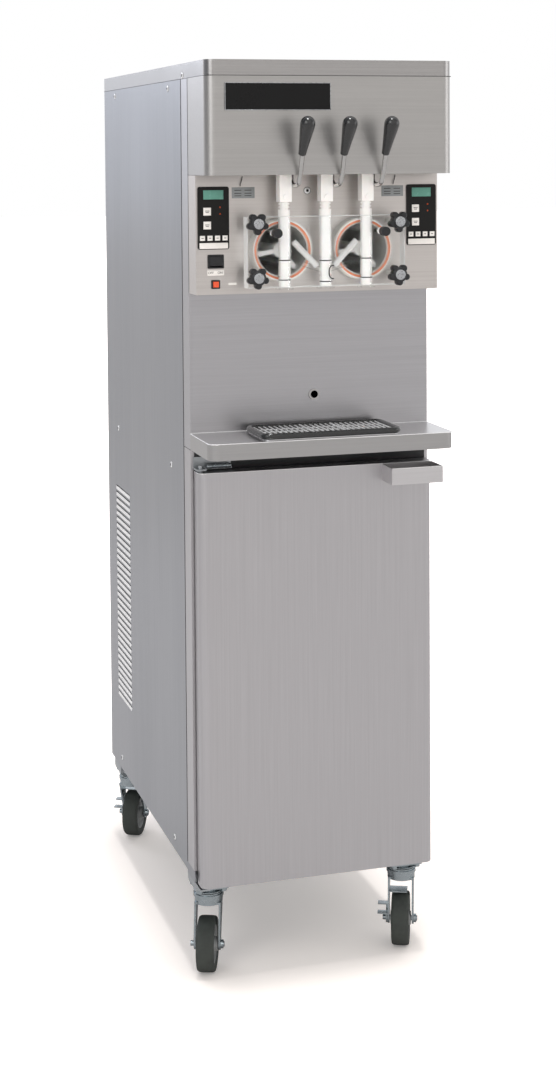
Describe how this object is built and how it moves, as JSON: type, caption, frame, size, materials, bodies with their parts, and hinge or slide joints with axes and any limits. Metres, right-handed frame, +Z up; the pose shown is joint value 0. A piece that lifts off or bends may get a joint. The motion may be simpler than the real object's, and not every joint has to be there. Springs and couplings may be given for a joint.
{
  "type": "soft-serve ice cream maker",
  "caption": "Floor-standing soft-serve ice cream maker: stainless cabinet on casters, clear freezer door with plunger spigots and levers, drip tray, and a mix space behind a hinged door.",
  "frame": {"origin": "on the floor, under the middle of the machine's bounding box, levers and rear wheels included", "axes": "+Z up, the front with the levers and the doors faces -Y, +X to the right of someone facing it"},
  "size_m": [0.468, 1.0088, 1.7],
  "materials": {
    "stainless": "brushed stainless sheet",
    "zinc": "bright zinc-plated pressed steel",
    "machine_paint": "satin machinery paint",
    "black_plastic": "fine-grained black plastic",
    "key_film": "black keypad film with white keys",
    "badge": "bare black plate",
    "white_acetal": "white acetal",
    "clear_acrylic": "thick clear acrylic",
    "orange_silicone": "orange silicone gasket",
    "red_lamp": "translucent red lamp lens",
    "lever_grip": "black moulded grip on a chromed rod",
    "barrel_steel": "polished stainless tube",
    "fin_aluminium": "aluminium fins",
    "liner_foam": "white plastic liner with a soft grey gasket",
    "grid_rim": "black tubular rim with steel wires",
    "tyre_rubber": "black rubber tyre on a grey core",
    "outlet_chrome": "chromed ring",
    "galvanised": "galvanised sheet"
  },
  "bodies": {
    "cabinet": {"base_frame": "galvanised", "left_side_panel": "stainless", "right_side_panel": "stainless", "rear_panel": "stainless", "roof_cover": "stainless", "hood_front": "stainless", "badge_plate": "badge", "control_panel": "stainless", "key_panels": "key_film", "switch_housings": "black_plastic", "splash_panel": "stainless", "drip_outlet": "outlet_chrome", "shelf": "stainless", "cabinet_liner": "stainless", "freezer_door": "clear_acrylic", "barrel_gaskets": "orange_silicone", "freezing_barrels": "barrel_steel", "drive_gearmotors": "machine_paint", "compressor": "machine_paint", "condenser": "fin_aluminium", "mix_pumps": "galvanised", "control_box": "galvanised", "power_inlet": "black_plastic", "caster_plates": "zinc", "panel_screws": "zinc", "lever_bracket": "zinc"},
    "door": {"cabinet_door": "stainless", "door_liner": "liner_foam", "door_handle": "stainless"},
    "left_lever": {"left_lever": "lever_grip"},
    "centre_lever": {"centre_lever": "lever_grip"},
    "right_lever": {"right_lever": "lever_grip"},
    "left_plunger": {"left_plunger": "white_acetal"},
    "centre_plunger": {"centre_plunger": "white_acetal"},
    "right_plunger": {"right_plunger": "white_acetal"},
    "main_rocker": {"main_rocker": "black_plastic"},
    "lamp_button": {"lamp_button": "red_lamp"},
    "star_knob_upper_left": {"star_knob_upper_left": "black_plastic"},
    "star_knob_upper_right": {"star_knob_upper_right": "black_plastic"},
    "star_knob_lower_left": {"star_knob_lower_left": "black_plastic"},
    "star_knob_lower_right": {"star_knob_lower_right": "black_plastic"},
    "left_bleed_knob": {"left_bleed_knob": "black_plastic"},
    "right_bleed_knob": {"right_bleed_knob": "black_plastic"},
    "left_dasher": {"left_dasher": "white_acetal"},
    "right_dasher": {"right_dasher": "white_acetal"},
    "condenser_fan": {"condenser_fan": "machine_paint"},
    "drip_tray": {"drip_tray": "stainless"},
    "drip_grid": {"drip_grid": "grid_rim"},
    "left_mix_container": {"left_mix_container": "stainless"},
    "right_mix_container": {"right_mix_container": "stainless"},
    "caster_fork_fl": {"caster_fork_fl": "zinc"},
    "caster_fork_fr": {"caster_fork_fr": "zinc"},
    "caster_fork_rl": {"caster_fork_rl": "zinc"},
    "caster_fork_rr": {"caster_fork_rr": "zinc"},
    "caster_wheel_fl": {"caster_wheel_fl": "tyre_rubber"},
    "caster_wheel_fr": {"caster_wheel_fr": "tyre_rubber"},
    "caster_wheel_rl": {"caster_wheel_rl": "tyre_rubber"},
    "caster_wheel_rr": {"caster_wheel_rr": "tyre_rubber"},
    "brake_pedal_fr": {"brake_pedal_fr": "zinc"},
    "brake_pedal_rl": {"brake_pedal_rl": "zinc"}
  },
  "joints": [
    {"name": "door_hinge", "type": "hinge", "parent": "cabinet", "child": "door", "pos_m": [-0.219, -0.31378, 0.57], "axis": [0, 0, -1], "range_deg": [0, 110]},
    {"name": "left_lever_turn", "type": "hinge", "parent": "cabinet", "child": "left_lever", "pos_m": [-0.06275, -0.37778, 1.522], "axis": [1, 0, 0], "range_deg": [0, 40]},
    {"name": "left_plunger_lift", "type": "slide", "parent": "cabinet", "child": "left_plunger", "axis": [0, 0, 1], "range_m": [0, 0.0206]},
    {"name": "centre_lever_turn", "type": "hinge", "parent": "cabinet", "child": "centre_lever", "pos_m": [0.01525, -0.37778, 1.522], "axis": [1, 0, 0], "range_deg": [0, 40]},
    {"name": "centre_plunger_lift", "type": "slide", "parent": "cabinet", "child": "centre_plunger", "axis": [0, 0, 1], "range_m": [0, 0.0206]},
    {"name": "right_lever_turn", "type": "hinge", "parent": "cabinet", "child": "right_lever", "pos_m": [0.09325, -0.37778, 1.522], "axis": [1, 0, 0], "range_deg": [0, 40]},
    {"name": "right_plunger_lift", "type": "slide", "parent": "cabinet", "child": "right_plunger", "axis": [0, 0, 1], "range_m": [0, 0.0206]},
    {"name": "main_rocker_tilt", "type": "hinge", "parent": "cabinet", "child": "main_rocker", "pos_m": [-0.196, -0.34377, 1.34], "axis": [1, 0, 0], "range_deg": [0, 14]},
    {"name": "lamp_button_press", "type": "slide", "parent": "cabinet", "child": "lamp_button", "axis": [0, 1, 0], "range_m": [0, 0.003], "stiffness_N_per_m": 400},
    {"name": "star_knob_upper_left_turn", "type": "hinge", "parent": "cabinet", "child": "star_knob_upper_left", "pos_m": [-0.134, -0.40277, 1.409], "axis": [0, -1, 0], "range_deg": [0, 360]},
    {"name": "star_knob_upper_right_turn", "type": "hinge", "parent": "cabinet", "child": "star_knob_upper_right", "pos_m": [0.134, -0.40277, 1.409], "axis": [0, -1, 0], "range_deg": [0, 360]},
    {"name": "star_knob_lower_left_turn", "type": "hinge", "parent": "cabinet", "child": "star_knob_lower_left", "pos_m": [-0.134, -0.40277, 1.312], "axis": [0, -1, 0], "range_deg": [0, 360]},
    {"name": "star_knob_lower_right_turn", "type": "hinge", "parent": "cabinet", "child": "star_knob_lower_right", "pos_m": [0.134, -0.40277, 1.312], "axis": [0, -1, 0], "range_deg": [0, 360]},
    {"name": "left_bleed_pull", "type": "slide", "parent": "cabinet", "child": "left_bleed_knob", "axis": [0, -1, 0], "range_m": [0, 0.008]},
    {"name": "right_bleed_pull", "type": "slide", "parent": "cabinet", "child": "right_bleed_knob", "axis": [0, -1, 0], "range_m": [0, 0.008]},
    {"name": "left_dasher_spin", "type": "hinge", "parent": "cabinet", "child": "left_dasher", "pos_m": [-0.077, 0, 1.359], "axis": [0, 1, 0], "continuous": true},
    {"name": "right_dasher_spin", "type": "hinge", "parent": "cabinet", "child": "right_dasher", "pos_m": [0.077, 0, 1.359], "axis": [0, 1, 0], "continuous": true},
    {"name": "condenser_fan_spin", "type": "hinge", "parent": "cabinet", "child": "condenser_fan", "pos_m": [-0.17, 0.31022, 0.58], "axis": [1, 0, 0], "continuous": true},
    {"name": "drip_tray_lift", "type": "slide", "parent": "cabinet", "child": "drip_tray", "axis": [0, 0, 1], "range_m": [0, 0.06]},
    {"name": "drip_grid_lift", "type": "slide", "parent": "drip_tray", "child": "drip_grid", "axis": [0, 0, 1], "range_m": [0, 0.05]},
    {"name": "left_container_lift", "type": "slide", "parent": "cabinet", "child": "left_mix_container", "axis": [0, 0, 1], "range_m": [0, 0.12]},
    {"name": "right_container_lift", "type": "slide", "parent": "cabinet", "child": "right_mix_container", "axis": [0, 0, 1], "range_m": [0, 0.12]},
    {"name": "caster_swivel_fl", "type": "hinge", "parent": "cabinet", "child": "caster_fork_fl", "pos_m": [-0.194, -0.24777, 0.135], "axis": [0, 0, 1], "continuous": true},
    {"name": "wheel_spin_fl", "type": "hinge", "parent": "caster_fork_fl", "child": "caster_wheel_fl", "pos_m": [-0.20206, -0.26824, 0.0508], "axis": [0.9304, -0.3665, 0], "continuous": true},
    {"name": "caster_swivel_fr", "type": "hinge", "parent": "cabinet", "child": "caster_fork_fr", "pos_m": [0.194, -0.24777, 0.135], "axis": [0, 0, 1], "continuous": true},
    {"name": "wheel_spin_fr", "type": "hinge", "parent": "caster_fork_fr", "child": "caster_wheel_fr", "pos_m": [0.1854, -0.26803, 0.0508], "axis": [0.9205, -0.3907, 0], "continuous": true},
    {"name": "brake_tilt_fr", "type": "hinge", "parent": "caster_fork_fr", "child": "brake_pedal_fr", "pos_m": [0.1854, -0.26803, 0.0508], "axis": [0.9205, -0.3907, 0], "range_deg": [0, 18]},
    {"name": "caster_swivel_rl", "type": "hinge", "parent": "cabinet", "child": "caster_fork_rl", "pos_m": [-0.194, 0.43223, 0.135], "axis": [0, 0, 1], "continuous": true},
    {"name": "wheel_spin_rl", "type": "hinge", "parent": "caster_fork_rl", "child": "caster_wheel_rl", "pos_m": [-0.18384, 0.45174, 0.0508], "axis": [0.887, -0.4617, 0], "continuous": true},
    {"name": "brake_tilt_rl", "type": "hinge", "parent": "caster_fork_rl", "child": "brake_pedal_rl", "pos_m": [-0.18384, 0.45174, 0.0508], "axis": [0.887, -0.4617, 0], "range_deg": [0, 18]},
    {"name": "caster_swivel_rr", "type": "hinge", "parent": "cabinet", "child": "caster_fork_rr", "pos_m": [0.194, 0.43223, 0.135], "axis": [0, 0, 1], "continuous": true},
    {"name": "wheel_spin_rr", "type": "hinge", "parent": "caster_fork_rr", "child": "caster_wheel_rr", "pos_m": [0.20152, 0.4529, 0.0508], "axis": [0.9397, -0.342, 0], "continuous": true}
  ],
  "couplings": [
    {"joint": "left_plunger_lift", "follows": "left_lever_turn", "m_per_rad": 0.029364},
    {"joint": "centre_plunger_lift", "follows": "centre_lever_turn", "m_per_rad": 0.029364},
    {"joint": "right_plunger_lift", "follows": "right_lever_turn", "m_per_rad": 0.029364}
  ]
}
